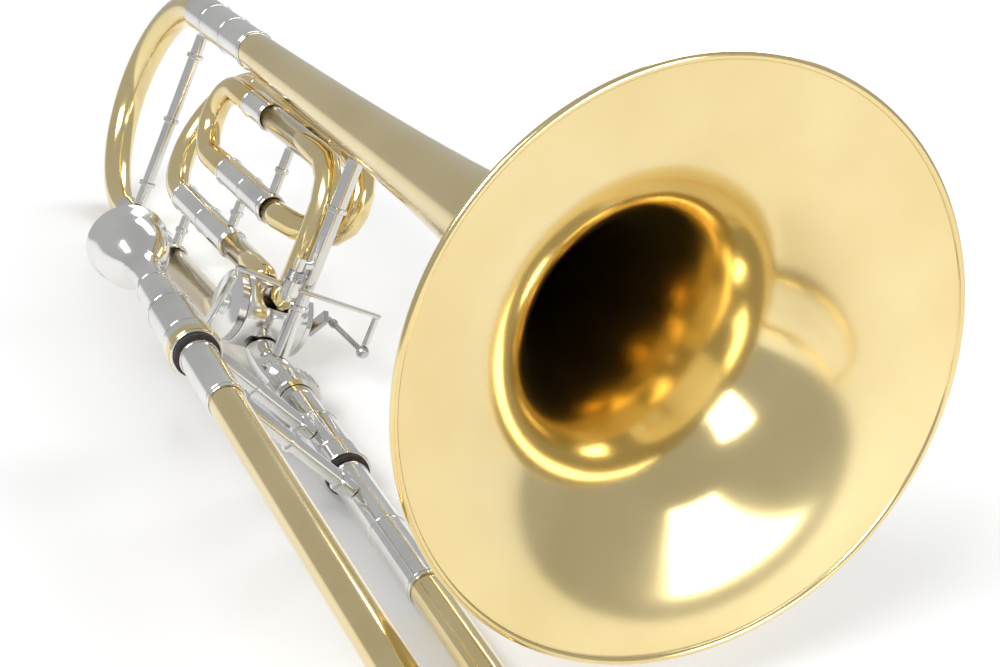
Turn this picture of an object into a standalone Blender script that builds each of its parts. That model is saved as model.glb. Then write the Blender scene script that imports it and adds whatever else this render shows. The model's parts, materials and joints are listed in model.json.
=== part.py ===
"""Bass trombone with one valve, built as separate pieces in metres, Z up."""
import math

import bmesh
import bpy
from mathutils import Matrix, Vector

MM = 0.001

# Running and seating clearances
GAP = 0.3
RUN = 0.25
WALL = 0.5
BOW_LEAD = 3.0

# Bell, measured along its own axis back from the rim
BELL_SHEET_R = 119.05
BELL_FLARE = 17.05
BELL_POWER = 0.7
BELL_WALL = 0.7
BELL_TAIL = -501.7
RIM_BEAD = 1.6

# Neck line under the bell
NECK_Z = -131.3
NECK_R = 7.85
SLEEVE_START = -502.0
SLEEVE_END = -577.0
COLLAR_END = -604.0
BELL_LEG_R = 10.1
NECK_LEG_R = 8.0
BOW_BELL_R = 10.2
BOW_NECK_R = 8.2
TUNING_BRACE_X = -590.0

# Valve
VALVE_X = -367.0
VALVE_Z = -113.0
CASING_R = 19.5
CASING_BORE = 17.6
ROTOR_R = 17.3
CASING_HALF = 17.0
PORT_R = 6.9

# Extra tubing fed by the valve
WRAP_R = 7.2
WRAP_SLEEVE_R = 8.1
WRAP_TOP_Z = -25.0
WRAP_LOW_Z = -66.0
WRAP_BOW_X = -508.0
WRAP_LOOP_Y = 21.0
WRAP_LOOP_Z = -22.0
LEG_Z = -97.0
REAR_BOW_X = -527.0
LEG_SLEEVE_X = -434.0
STAY_R = 2.8

# Thumb lever, turning about an upright post beside the front brace
BRACE_X = -330.0
BRACE_R = 4.2
PIVOT = Vector((-322.0, -12.0, -85.0))
POST_R = 2.6
HUB_R = 4.8
HUB_HALF = 4.0
BALL = Vector((-312.0, 34.0, -105.0))
BALL_R = 3.4
BAR_WIDE = 4.0
BAR_THICK = 1.8
LINK_R = 1.5
STOP_ARM_Y = 30.0
STOP_ARM_THICK = 3.0

# Hand slide
SLIDE_JOINT = Vector((-320.0, 0.0, NECK_Z))
SLIDE_DIRECTION = Vector((1.0, -0.0412, -0.0482)).normalized()
SLIDE_SPACING = 98.0
SLIDE_TILT = math.radians(22.2)
INNER_TUBE_R = 7.4
INNER_TUBE_BORE = 7.135
OUTER_TUBE_R = 7.8
OUTER_TUBE_BORE = 7.52
OUTER_TUBE_END = 758.5
INNER_TUBE_END = 753.5

BRASS = (0.78, 0.53, 0.16, 1.0)
NICKEL = (0.72, 0.71, 0.68, 1.0)
STEEL = (0.5, 0.5, 0.52, 1.0)
DARK = (0.04, 0.035, 0.03, 1.0)

NECK_FRAME = (Vector((0.0, 0.0, NECK_Z)), Vector((1.0, 0.0, 0.0)))
BELL_FRAME = (Vector((0.0, 0.0, 0.0)), Vector((1.0, 0.0, 0.0)))


def clear_scene():
    for item in list(bpy.data.objects):
        bpy.data.objects.remove(item, do_unlink=True)


def new_collection(name):
    group = bpy.data.collections.new(name)
    bpy.context.scene.collection.children.link(group)
    return group


clear_scene()
PIECES = new_collection("bass_trombone")
CUTTERS = new_collection("cutters")
ROOT = bpy.data.objects.new("trombone_root", None)
PIECES.objects.link(ROOT)


def paint(item, colour, roughness=0.22, metallic=1.0):
    material = bpy.data.materials.new(item.name)
    material.use_nodes = True
    shader = material.node_tree.nodes["Principled BSDF"]
    shader.inputs["Base Color"].default_value = colour
    shader.inputs["Roughness"].default_value = roughness
    shader.inputs["Metallic"].default_value = metallic
    item.data.materials.clear()
    item.data.materials.append(material)


def finish(item, colour, group=None):
    (group or PIECES).objects.link(item)
    item.parent = ROOT
    paint(item, colour)
    return item


def shade(mesh):
    for face in mesh.polygons:
        face.use_smooth = True
    mesh.set_sharp_from_angle(angle=math.radians(35.0))


def axis_matrix(origin, direction):
    turn = direction.to_track_quat("Z", "Y").to_matrix().to_4x4()
    return Matrix.Translation(origin * MM) @ turn


def turned(name, profile, frame, colour, steps=24):
    """Revolve a closed profile of (radius, distance) pairs about an axis."""
    mesh = bpy.data.meshes.new(name)
    points = [(radius * MM, 0.0, along * MM) for radius, along in profile]
    closed = min(radius for radius, along in profile) > 0.0
    edges = [(i, i + 1) for i in range(len(points) - 1)]
    if closed:
        edges.append((len(points) - 1, 0))
    mesh.from_pydata(points, edges, [])
    item = bpy.data.objects.new(name, mesh)
    screw = item.modifiers.new("revolve", "SCREW")
    screw.axis = "Z"
    screw.steps = steps
    screw.render_steps = steps
    screw.use_merge_vertices = True
    screw.merge_threshold = 0.00001
    screw.use_smooth_shade = True
    item.matrix_local = axis_matrix(*frame)
    return finish(item, colour)


def ring(name, start, end, outer, inner, frame, colour, steps=24):
    """A plain ring with small chamfers on its outer edges."""
    edge = min(0.4, (outer - inner) * 0.4, (end - start) * 0.2)
    profile = [(outer - edge, end), (outer, end - edge), (outer, start + edge),
               (outer - edge, start), (inner, start), (inner, end)]
    return turned(name, profile, frame, colour, steps)


def rod(name, start, end, radius, colour, rings=()):
    """A solid turned bar between two points, with raised rings at given shares."""
    direction = end - start
    length = direction.length
    frame = (start, direction.normalized())
    profile = [(0.0, length), (radius, length)]
    for share, raised in sorted(rings, reverse=True):
        middle = share * length
        profile += [(radius, middle + 1.6), (raised, middle + 1.0),
                    (raised, middle - 1.0), (radius, middle - 1.6)]
    profile += [(radius, 0.0), (0.0, 0.0)]
    return turned(name, profile, frame, colour, 16)


def tube(name, points, radius, wall, colour, taper=1.0):
    """A bent tube with open ends, its wall set inward from the outer radius.

    The far end's radius is the first radius times taper.
    """
    curve = bpy.data.curves.new(name + "_path", "CURVE")
    curve.dimensions = "3D"
    curve.bevel_depth = radius * MM
    curve.bevel_resolution = 4
    curve.use_fill_caps = wall == 0.0
    line = curve.splines.new("POLY")
    line.points.add(len(points) - 1)
    for i, (spot, point) in enumerate(zip(line.points, points)):
        spot.co = (*(Vector(point) * MM), 1.0)
        spot.radius = 1.0 + (taper - 1.0) * i / (len(points) - 1)
    source = bpy.data.objects.new(name + "_path", curve)
    PIECES.objects.link(source)
    bpy.context.view_layer.update()
    seen = source.evaluated_get(bpy.context.evaluated_depsgraph_get())
    mesh = bpy.data.meshes.new_from_object(seen)
    mesh.name = name
    bpy.data.objects.remove(source, do_unlink=True)
    work = bmesh.new()
    work.from_mesh(mesh)
    bmesh.ops.remove_doubles(work, verts=work.verts, dist=0.000001)
    bmesh.ops.recalc_face_normals(work, faces=work.faces)
    outward = sum(face.normal.dot(face.calc_center_median() - nearest(face, points))
                  for face in work.faces)
    if outward < 0.0:
        bmesh.ops.reverse_faces(work, faces=work.faces)
    work.to_mesh(mesh)
    work.free()
    shade(mesh)
    item = bpy.data.objects.new(name, mesh)
    if wall > 0.0:
        shell = item.modifiers.new("wall", "SOLIDIFY")
        shell.thickness = wall * MM
        shell.offset = -1.0
    return finish(item, colour)


def nearest(face, points):
    centre = face.calc_center_median()
    return min((Vector(point) * MM for point in points),
               key=lambda spot: (spot - centre).length)


def arc(centre, start, across, degrees, count):
    """Points on an arc that begins at centre + start and turns toward across."""
    centre, start, across = Vector(centre), Vector(start), Vector(across)
    turns = [math.radians(degrees) * i / count for i in range(count + 1)]
    return [tuple(centre + start * math.cos(t) + across * math.sin(t)) for t in turns]


def cut(item, cutter):
    PIECES.objects.unlink(cutter)
    CUTTERS.objects.link(cutter)
    cutter.hide_render = True
    cutter.display_type = "WIRE"
    change = item.modifiers.new("cut", "BOOLEAN")
    change.operation = "DIFFERENCE"
    change.solver = "EXACT"
    change.object = cutter


# Bell and the tubing in line with it


def bell_radius(x):
    return BELL_SHEET_R * (BELL_FLARE / (BELL_FLARE - x)) ** BELL_POWER


def build_bell():
    count = 21
    outer = []
    inner = []
    for i in range(count + 1):
        share = (i / count) ** 2.6
        x = -0.5 + (BELL_TAIL + 0.5) * share
        slope = BELL_POWER * bell_radius(x) / (BELL_FLARE - x)
        length = math.hypot(1.0, slope)
        outer.append((bell_radius(x), x))
        inner.append((bell_radius(x) - BELL_WALL / length,
                      x + BELL_WALL * slope / length))
    inner[-1] = (inner[-1][0], BELL_TAIL)
    bead = []
    for i in range(9):
        turn = math.radians(160.0 - 320.0 * i / 8)
        bead.append((BELL_SHEET_R + RIM_BEAD * math.cos(turn), RIM_BEAD * math.sin(turn)))
    turned("bell", bead + outer + inner[::-1], BELL_FRAME, BRASS, 48)


def build_tuning_slide():
    ring("bell_sleeve", SLEEVE_END, SLEEVE_START, 11.5, BELL_LEG_R + RUN, BELL_FRAME, NICKEL)
    ring("neck_sleeve", SLEEVE_END, -507.0, 9.2, NECK_LEG_R + RUN, NECK_FRAME, NICKEL)
    for name, outer, leg, frame in (("bell", 11.5, BELL_LEG_R, BELL_FRAME),
                                    ("neck", 9.2, NECK_LEG_R, NECK_FRAME)):
        profile = [(leg, -512.0), (leg, SLEEVE_END - GAP), (outer, SLEEVE_END - GAP),
                   (outer, COLLAR_END), (leg - WALL, COLLAR_END), (leg - WALL, -512.0)]
        turned(name + "_tuning_leg", profile, frame, NICKEL)
    middle = NECK_Z / 2
    mouth = COLLAR_END - GAP
    bow = arc((mouth - BOW_LEAD, 0.0, middle), (0.0, 0.0, -middle), (middle, 0.0, 0.0), 180.0, 28)
    bow = [(mouth, 0.0, 0.0)] + bow + [(mouth, 0.0, NECK_Z)]
    tube("main_tuning_bow", bow, BOW_BELL_R, WALL, BRASS, taper=BOW_NECK_R / BOW_BELL_R)
    rod("tuning_brace", Vector((TUNING_BRACE_X, 0.0, -11.5 - GAP)),
        Vector((TUNING_BRACE_X, 0.0, NECK_Z + 9.2 + GAP)), 3.6, NICKEL, ((0.12, 5.2), (0.5, 4.8), (0.88, 5.2)))


# Valve


def ports():
    reach = 13.4
    dip = 9.9
    for side in (1.0, -1.0):
        yield [(VALVE_X + reach * 1.5, 0.0, VALVE_Z + side * reach * 1.5),
               (VALVE_X + reach, 0.0, VALVE_Z + side * reach),
               (VALVE_X + 6.0, 0.0, VALVE_Z + side * (dip + 0.6)),
               (VALVE_X, 0.0, VALVE_Z + side * dip),
               (VALVE_X - 6.0, 0.0, VALVE_Z + side * (dip + 0.6)),
               (VALVE_X - reach, 0.0, VALVE_Z + side * reach),
               (VALVE_X - reach * 1.5, 0.0, VALVE_Z + side * reach * 1.5)]


def build_valve():
    frame = (Vector((VALVE_X, 0.0, VALVE_Z)), Vector((0.0, 1.0, 0.0)))
    casing = ring("valve_casing", -CASING_HALF, CASING_HALF, CASING_R, CASING_BORE, frame, NICKEL, 32)
    across = CASING_R + 4.0
    for i, lean in enumerate((1.0, -1.0)):
        ends = [(VALVE_X - across, 0.0, VALVE_Z - lean * across),
                (VALVE_X + across, 0.0, VALVE_Z + lean * across)]
        cut(casing, tube("port_cutter_%d" % i, ends, PORT_R, 0.0, DARK))
    half = CASING_HALF - 1.0
    spindle = 3.0
    tip = STOP_ARM_Y - STOP_ARM_THICK / 2 - GAP
    profile = [(0.0, tip), (spindle, tip), (spindle, half), (ROTOR_R, half),
               (ROTOR_R, -half), (0.0, -half)]
    rotor = turned("valve_rotor", profile, frame, BRASS, 32)
    for i, route in enumerate(ports()):
        cut(rotor, tube("passage_cutter_%d" % i, route, PORT_R - 0.4, 0.0, DARK))
    face = -CASING_HALF - GAP
    cap = [(0.0, face), (18.8, face), (18.8, face - 4.0), (17.4, face - 5.0),
           (6.0, face - 5.2), (4.6, face - 7.6), (0.0, face - 8.2)]
    turned("valve_cap", cap, frame, NICKEL, 32)
    plate = CASING_HALF + GAP
    ring("valve_back_plate", plate, plate + 3.0, 18.4, spindle + RUN, frame, NICKEL, 32)
    reach = 3.5
    centre = Vector((VALVE_X + reach, STOP_ARM_Y, VALVE_Z + reach))
    item = box("stop_arm", centre, (19.0, STOP_ARM_THICK, 7.0), STEEL)
    item.rotation_euler = (0.0, math.radians(-45.0), 0.0)


def box(name, centre, size, colour):
    bpy.ops.mesh.primitive_cube_add(size=1.0)
    item = bpy.context.object
    item.name = name
    for group in list(item.users_collection):
        group.objects.unlink(item)
    item.data.transform(Matrix.Diagonal((*(Vector(size) * MM), 1.0)))
    item.location = centre * MM
    bevel = item.modifiers.new("edges", "BEVEL")
    bevel.width = 0.6 * MM
    bevel.segments = 2
    return finish(item, colour)


# Neck and the valve tubing


def knuckle(lean_x, lean_z, level):
    """The bend from a valve port out to a straight tube at the given height."""
    reach = (CASING_R + GAP) / math.sqrt(2.0)
    port = (VALVE_X + lean_x * reach, 0.0, VALVE_Z + lean_z * reach)
    end = (port[0] + lean_x * 1.5, 0.0, port[2] + lean_z * 1.5)
    rise = abs(level - end[2])
    run = max(rise, 8.0)
    points = [port, end]
    for i in range(1, 7):
        share = i / 6
        points.append((end[0] + lean_x * run * 1.7 * share, 0.0,
                       end[2] + lean_z * rise * (1.0 - (1.0 - share) ** 1.7)))
    return points


def build_neck():
    rear = knuckle(-1.0, -1.0, NECK_Z)
    tube("neck_tube", [(-506.7, 0.0, NECK_Z)] + rear[::-1], NECK_R, WALL, BRASS)
    front = knuckle(1.0, -1.0, NECK_Z)
    tube("receiver_tube", front + [(-311.0, 0.0, NECK_Z)], 8.6, 0.8, NICKEL)
    frame = (SLIDE_JOINT, SLIDE_DIRECTION)
    ring("bell_lock_nut", 17.0, 29.7, 12.8, 9.6, frame, NICKEL)


def build_valve_tubing():
    crook = knuckle(1.0, 1.0, -93.0)[:2]
    rise = [(-349.0, 0.0, -94.0), (-346.0, 0.0, -88.0), (-345.5, 0.0, -60.0),
            (-346.5, 0.0, -44.0), (-352.0, 0.0, -32.5), (-362.0, 0.0, -26.2),
            (-375.0, 0.0, WRAP_TOP_Z), (-446.7, 0.0, WRAP_TOP_Z)]
    tube("valve_front_crook", crook + rise, 7.2, WALL, BRASS)
    along = Vector((1.0, 0.0, 0.0))
    top = (Vector((0.0, 0.0, WRAP_TOP_Z)), along)
    low = (Vector((0.0, 0.0, WRAP_LOW_Z)), along)
    ring("upper_wrap_sleeve", -478.0, -447.0, WRAP_SLEEVE_R, WRAP_R + 0.2, top, NICKEL)
    ring("lower_wrap_sleeve", -478.0, -403.3, WRAP_SLEEVE_R, WRAP_R + 0.2, low, NICKEL)
    radius = (WRAP_TOP_Z - WRAP_LOW_Z) / 2
    middle = (WRAP_TOP_Z + WRAP_LOW_Z) / 2
    bend = arc((WRAP_BOW_X, 0.0, middle), (0.0, 0.0, radius), (-radius, 0.0, 0.0), 180.0, 18)
    bow = [(-452.0, 0.0, WRAP_TOP_Z)] + bend + [(-440.0, 0.0, WRAP_LOW_Z)]
    tube("valve_tuning_bow", bow, WRAP_R, WALL, BRASS)
    build_inner_loop(along)
    build_stays()


def build_inner_loop(along):
    """The fixed loop from the lower sleeve forward, back and down to the valve."""
    front = [(-403.0, 0.0, -66.0), (-392.0, 0.4, -66.0), (-380.0, 6.0, -66.0),
             (-370.0, 12.8, -64.2), (-361.0, 18.3, -59.5), (-354.0, 20.2, -52.0),
             (-351.0, 20.5, -43.5), (-353.0, 20.8, -34.5), (-360.0, 21.0, -26.5),
             (-371.0, 21.0, WRAP_LOOP_Z), (-397.7, 21.0, WRAP_LOOP_Z)]
    tube("inner_front_bow", front, WRAP_R, WALL, BRASS)
    loop = (Vector((0.0, WRAP_LOOP_Y, WRAP_LOOP_Z)), along)
    ring("inner_long_tube", REAR_BOW_X + GAP, -398.0, WRAP_R, WRAP_R - WALL, loop, BRASS)
    half = Vector((0.0, WRAP_LOOP_Y / 2, (WRAP_LOOP_Z - LEG_Z) / 2))
    lead = Vector((-BOW_LEAD, 0.0, 0.0))
    centre = Vector((REAR_BOW_X, WRAP_LOOP_Y / 2, (WRAP_LOOP_Z + LEG_Z) / 2)) + lead
    bend = arc(centre, half, (-half.length, 0.0, 0.0), 180.0, 20)
    bend = [tuple(Vector(bend[0]) - lead)] + bend + [tuple(Vector(bend[-1]) - lead)]
    tube("inner_rear_bow", bend, WRAP_R, WALL, BRASS)
    leg = (Vector((0.0, 0.0, LEG_Z)), along)
    ring("rear_leg_sleeve", REAR_BOW_X + GAP, LEG_SLEEVE_X - GAP, WRAP_SLEEVE_R,
         WRAP_R - WALL, leg, NICKEL)
    route = knuckle(-1.0, 1.0, LEG_Z) + [(LEG_SLEEVE_X, 0.0, LEG_Z)]
    tube("rear_leg_tube", route, WRAP_R, WALL, BRASS)


def build_stays():
    seat = WRAP_SLEEVE_R + GAP
    spans = (("stay_upper", -410.0, WRAP_TOP_Z - WRAP_R - GAP, WRAP_LOW_Z + seat),
             ("stay_middle", -446.0, WRAP_LOW_Z - seat, LEG_Z + seat),
             ("stay_lower", -512.0, LEG_Z - seat, NECK_Z + 9.2 + GAP))
    for name, x, top, foot in spans:
        rod(name, Vector((x, 0.0, top)), Vector((x, 0.0, foot)), STAY_R, NICKEL, ((0.5, 3.8),))


# Thumb lever and its link to the valve


def bar(name, start, end, wide, thick, colour):
    """A flat bar between two points, its width level and its corners rounded."""
    along = end - start
    item = box(name, (start + end) / 2, (along.length, wide, thick), colour)
    item.rotation_mode = "QUATERNION"
    item.rotation_quaternion = along.to_track_quat("X", "Z")
    return item


def build_lever():
    level = PIVOT.z
    up = Vector((0.0, 0.0, 1.0))
    ring("lever_hub", -HUB_HALF, HUB_HALF, HUB_R, POST_R + RUN, (PIVOT, up), NICKEL)
    rod("lever_post", PIVOT - up * (HUB_HALF + 3.0), PIVOT + up * (HUB_HALF + 12.0), POST_R, NICKEL)
    away = Vector((PIVOT.x - BRACE_X, PIVOT.y, 0.0))
    reach = away.normalized()
    shelf = Vector((BRACE_X, 0.0, level + HUB_HALF + 8.0))
    rod("lever_bracket", shelf + reach * (BRACE_R + GAP), shelf + away - reach * (POST_R + GAP),
        2.4, NICKEL)
    corner = Vector((BALL.x, BALL.y, level))
    side = (corner - PIVOT).normalized()
    bar("lever_front_bar", PIVOT + side * (HUB_R + GAP), corner + side * 2.0, BAR_WIDE,
        BAR_THICK, NICKEL)
    top = corner - up * (BAR_THICK / 2 + GAP)
    rod("lever_drop", top, BALL + up * (BALL_R + GAP), 1.8, NICKEL)
    ball(BALL)
    elbow = Vector((-335.0, -38.0, level))
    side = (elbow - PIVOT).normalized()
    bar("lever_rear_bar", PIVOT + side * (HUB_R + GAP), elbow, 6.0, BAR_THICK, NICKEL)
    paddle = bar("lever_paddle", elbow - up * (BAR_THICK / 2 + GAP + 1.3) + side * -1.5,
                 elbow + Vector((-2.0, -6.0, -50.0)), 20.0, 2.0, NICKEL)
    paddle.modifiers["edges"].width = 0.9 * MM
    start = BALL - Vector((BALL_R + GAP, 0.0, 0.0))
    rod("link_rod", start, Vector((VALVE_X + 6.0, BALL.y, BALL.z)), LINK_R, STEEL, ((0.85, 2.4),))


def ball(centre):
    bpy.ops.mesh.primitive_uv_sphere_add(segments=16, ring_count=10, radius=BALL_R * MM)
    item = bpy.context.object
    item.name = "lever_ball"
    for group in list(item.users_collection):
        group.objects.unlink(item)
    item.location = centre * MM
    shade(item.data)
    finish(item, STEEL)


def build_slide():
    axis = SLIDE_DIRECTION
    offset = Vector((0.0, -math.cos(SLIDE_TILT), math.sin(SLIDE_TILT)))
    offset = (offset - axis * offset.dot(axis)).normalized()
    upper = (SLIDE_JOINT + offset * SLIDE_SPACING, axis)
    lower = (SLIDE_JOINT, axis)
    for name, frame, sleeve_end in (("upper", upper, 164.0), ("lower", lower, 223.0)):
        ring(name + "_inner_tube", 61.0, INNER_TUBE_END, INNER_TUBE_R, INNER_TUBE_BORE, frame, NICKEL)
        ring(name + "_outer_tube", 115.0, OUTER_TUBE_END, OUTER_TUBE_R, OUTER_TUBE_BORE, frame, BRASS)
        ring(name + "_barrel", 62.0, 98.0, 10.7, INNER_TUBE_R + 0.2, frame, NICKEL)
        ring(name + "_lock_ring", 98.3, 112.0, 11.8, INNER_TUBE_R + 0.2, frame, NICKEL)
        ring(name + "_outer_sleeve", 115.0, sleeve_end, 8.6, OUTER_TUBE_R + 0.1, frame, NICKEL)
    for name, along, radius in (("inner_brace", 80.0, 10.7), ("outer_brace", 139.0, 8.6)):
        start = SLIDE_JOINT + axis * along + offset * (radius + GAP)
        end = SLIDE_JOINT + axis * along + offset * (SLIDE_SPACING - radius - GAP)
        rod(name, start, end, 3.8, NICKEL, ((0.1, 5.4), (0.5, 5.0), (0.9, 5.4)))
    tail = OUTER_TUBE_END + GAP
    lead = axis * BOW_LEAD
    centre = SLIDE_JOINT + axis * tail + lead + offset * SLIDE_SPACING / 2
    bow = arc(centre, -offset * SLIDE_SPACING / 2, axis * SLIDE_SPACING / 2, 180.0, 24)
    bow = [tuple(Vector(bow[0]) - lead)] + bow + [tuple(Vector(bow[-1]) - lead)]
    tube("slide_bow", bow, OUTER_TUBE_R, WALL, BRASS)
    tip = centre + axis * (SLIDE_SPACING / 2 + OUTER_TUBE_R + GAP)
    rod("slide_bumper", tip, tip + axis * 8.0, 4.5, DARK)
    cup = [(19.4, -29.6), (20.5, -28.2), (19.9, -25.6), (18.7, -23.5), (18.3, -17.0),
           (16.6, -9.5), (13.4, -3.5), (9.6, 0.5), (8.2, 3.0), (9.0, 4.6), (7.8, 6.5),
           (7.0, 16.0), (6.2, 30.0), (5.4, 60.0), (4.4, 60.0), (3.7, 8.0), (5.6, 0.0),
           (10.2, -9.0), (12.4, -20.0), (13.0, -27.6), (15.2, -30.0)]
    turned("mouthpiece", cup[::-1], upper, NICKEL, 24)
    ring("mouthpiece_receiver", 30.0, 61.0, 8.8, 6.6, upper, NICKEL)
    ring("lower_socket", 12.0, 60.7, 9.3, INNER_TUBE_BORE, lower, NICKEL)
    ring("gap_ring", 10.2, 11.7, 9.0, INNER_TUBE_BORE, lower, DARK)
    ring("leadpipe", 61.3, 250.0, INNER_TUBE_BORE - 0.3, 6.3, upper, BRASS)


def build_front_brace():
    top = -bell_radius(-340.0) - GAP
    rod("front_brace", Vector((BRACE_X, 0.0, top - 0.4)), Vector((BRACE_X, 0.0, NECK_Z + 8.6 + GAP)),
        BRACE_R, NICKEL, ((0.25, 5.4), (0.75, 5.4)))


def lay_down():
    """Roll the whole instrument until it rests on its bell rim and slide."""
    bpy.context.view_layer.update()
    graph = bpy.context.evaluated_depsgraph_get()
    cloud = bmesh.new()
    for item in PIECES.objects:
        if item.type == "MESH":
            seen = item.evaluated_get(graph)
            for vert in seen.to_mesh().vertices:
                cloud.verts.new(seen.matrix_world @ vert.co)
            seen.to_mesh_clear()
    bmesh.ops.convex_hull(cloud, input=cloud.verts)
    aim = Vector((0.0, 0.416, -0.909))
    best = max((face for face in cloud.faces if face.calc_area() > 0.0005),
               key=lambda face: face.normal.dot(aim))
    turn = best.normal.rotation_difference(Vector((0.0, 0.0, -1.0))).to_matrix().to_4x4()
    low = min((turn @ vert.co).z for vert in cloud.verts)
    cloud.free()
    ROOT.matrix_world = Matrix.Translation((0.0, 0.0, -low)) @ turn


build_bell()
build_tuning_slide()
build_valve()
build_neck()
build_valve_tubing()
build_front_brace()
build_lever()
build_slide()
lay_down()
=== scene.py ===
"""Studio picture of the bass trombone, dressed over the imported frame."""
import json
import math

import bmesh
import bpy
from mathutils import Matrix, Vector

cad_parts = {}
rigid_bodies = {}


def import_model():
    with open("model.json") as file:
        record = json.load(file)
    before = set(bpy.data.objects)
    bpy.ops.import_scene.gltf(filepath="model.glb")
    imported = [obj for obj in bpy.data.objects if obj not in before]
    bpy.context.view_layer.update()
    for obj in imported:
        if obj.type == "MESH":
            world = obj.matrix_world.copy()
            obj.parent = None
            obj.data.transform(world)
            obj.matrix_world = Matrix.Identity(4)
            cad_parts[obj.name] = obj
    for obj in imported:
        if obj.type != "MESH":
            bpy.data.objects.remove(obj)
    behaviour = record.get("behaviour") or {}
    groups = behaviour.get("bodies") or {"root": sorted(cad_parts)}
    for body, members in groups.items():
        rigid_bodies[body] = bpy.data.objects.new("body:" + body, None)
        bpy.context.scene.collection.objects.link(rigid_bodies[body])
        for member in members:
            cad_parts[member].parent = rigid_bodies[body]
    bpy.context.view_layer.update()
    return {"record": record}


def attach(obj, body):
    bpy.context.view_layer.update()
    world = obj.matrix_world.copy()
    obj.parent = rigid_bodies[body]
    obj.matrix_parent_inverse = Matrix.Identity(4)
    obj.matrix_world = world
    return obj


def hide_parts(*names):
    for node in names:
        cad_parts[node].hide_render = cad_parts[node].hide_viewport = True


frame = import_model()

MM = 0.001

# Running and seating clearances
GAP = 0.3
RUN = 0.25
WALL = 0.5
BOW_LEAD = 3.0

# Fineness of the visible pieces against the solids
FINER = 4
TUBE_SIDES = 14
ROUND_STEPS = 24
ROD_STEPS = 16
VALVE_STEPS = 32
BELL_STEPS = 48
CREASE = math.radians(35.0)
TURNED_MERGE = 0.00001
TUBE_MERGE = 0.000001

# Chamfers, rounded edges and raised rings
CHAMFER = 0.4
CHAMFER_OF_WALL = 0.4
CHAMFER_OF_LENGTH = 0.2
EDGE_ROUND = 0.6
EDGE_SEGMENTS = 4
RING_FOOT = 1.6
RING_TOP = 1.0

# Bell, measured along its own axis back from the rim
BELL_SHEET_R = 119.05
BELL_FLARE = 17.05
BELL_POWER = 0.7
BELL_WALL = 0.7
BELL_EDGE = -0.5
BELL_TAIL = -501.7
BELL_RINGS = 21
BELL_CROWDING = 2.6
RIM_BEAD = 1.6
BEAD_SIDES = 24
BEAD_SWEEP = 320.0

# Neck line under the bell, and the main tuning slide behind both
NECK_Z = -131.3
NECK_R = 7.85
NECK_BACK = -506.7
BELL_SLEEVE_R = 11.5
NECK_SLEEVE_R = 9.2
SLEEVE_START = -502.0
NECK_SLEEVE_START = -507.0
SLEEVE_END = -577.0
LEG_FRONT = -512.0
COLLAR_END = -604.0
BELL_LEG_R = 10.1
NECK_LEG_R = 8.0
BOW_BELL_R = 10.2
BOW_NECK_R = 8.2
BOW_STEPS = 28
TUNING_BRACE_X = -590.0
TUNING_BRACE_R = 3.6
TUNING_BRACE_RINGS = ((0.12, 5.2), (0.5, 4.8), (0.88, 5.2))

# Valve
VALVE_X = -367.0
VALVE_Z = -113.0
CASING_R = 19.5
CASING_BORE = 17.6
CASING_HALF = 17.0
ROTOR_R = 17.3
ROTOR_HALF = CASING_HALF - 1.0
SPINDLE_R = 3.0
PORT_R = 6.9
PORT_LEAD = 4.0
PASSAGE_R = PORT_R - 0.4
PASSAGE_REACH = 13.4
PASSAGE_LEAD = 1.5
PASSAGE_DIP = 9.9
PASSAGE_EASE = 0.6
PASSAGE_HALF = 6.0
PLATE_R = 18.4
PLATE_THICK = 3.0
STOP_ARM_Y = 30.0
STOP_ARM_THICK = 3.0
STOP_ARM_LONG = 19.0
STOP_ARM_WIDE = 7.0
STOP_ARM_SHIFT = 3.5
STOP_ARM_LEAN = math.radians(-45.0)

# The cap's outline, as radius and distance out from the casing
CAP_OUTLINE = ((0.0, 0.0), (18.8, 0.0), (18.8, 4.0), (17.4, 5.0), (6.0, 5.2), (4.6, 7.6),
               (0.0, 8.2))

# Bends from the valve's ports to the straight tubes
KNUCKLE_LEAD = 1.5
KNUCKLE_LEAST_RUN = 8.0
KNUCKLE_STRETCH = 1.7
KNUCKLE_POWER = 1.7
KNUCKLE_STEPS = 6

# Receiver and lock nut ahead of the valve
RECEIVER_FRONT = -311.0
RECEIVER_R = 8.6
RECEIVER_WALL = 0.8
NUT_R = 12.8
NUT_BORE = 9.6
NUT_START = 17.0
NUT_END = 29.7

# Extra tubing fed by the valve
WRAP_R = 7.2
WRAP_FIT = 0.2
WRAP_SLEEVE_R = 8.1
WRAP_SLEEVE_BACK = -478.0
UPPER_WRAP_FRONT = -447.0
LOWER_WRAP_FRONT = -403.3
WRAP_TOP_Z = -25.0
WRAP_LOW_Z = -66.0
WRAP_BOW_X = -508.0
WRAP_BOW_TOP_X = -452.0
WRAP_BOW_LOW_X = -440.0
WRAP_BOW_STEPS = 18
WRAP_LOOP_Y = 21.0
WRAP_LOOP_Z = -22.0
WRAP_LOOP_FRONT = -398.0
CROOK_LEVEL = -93.0
LEG_Z = -97.0
REAR_BOW_X = -527.0
REAR_BOW_STEPS = 20
LEG_SLEEVE_X = -434.0
STAY_R = 2.8
STAY_RINGS = ((0.5, 3.8),)

# Front brace
BRACE_X = -330.0
BRACE_R = 4.2
BRACE_TOP_X = -340.0
BRACE_SINK = 0.4
BRACE_RINGS = ((0.25, 5.4), (0.75, 5.4))

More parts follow.
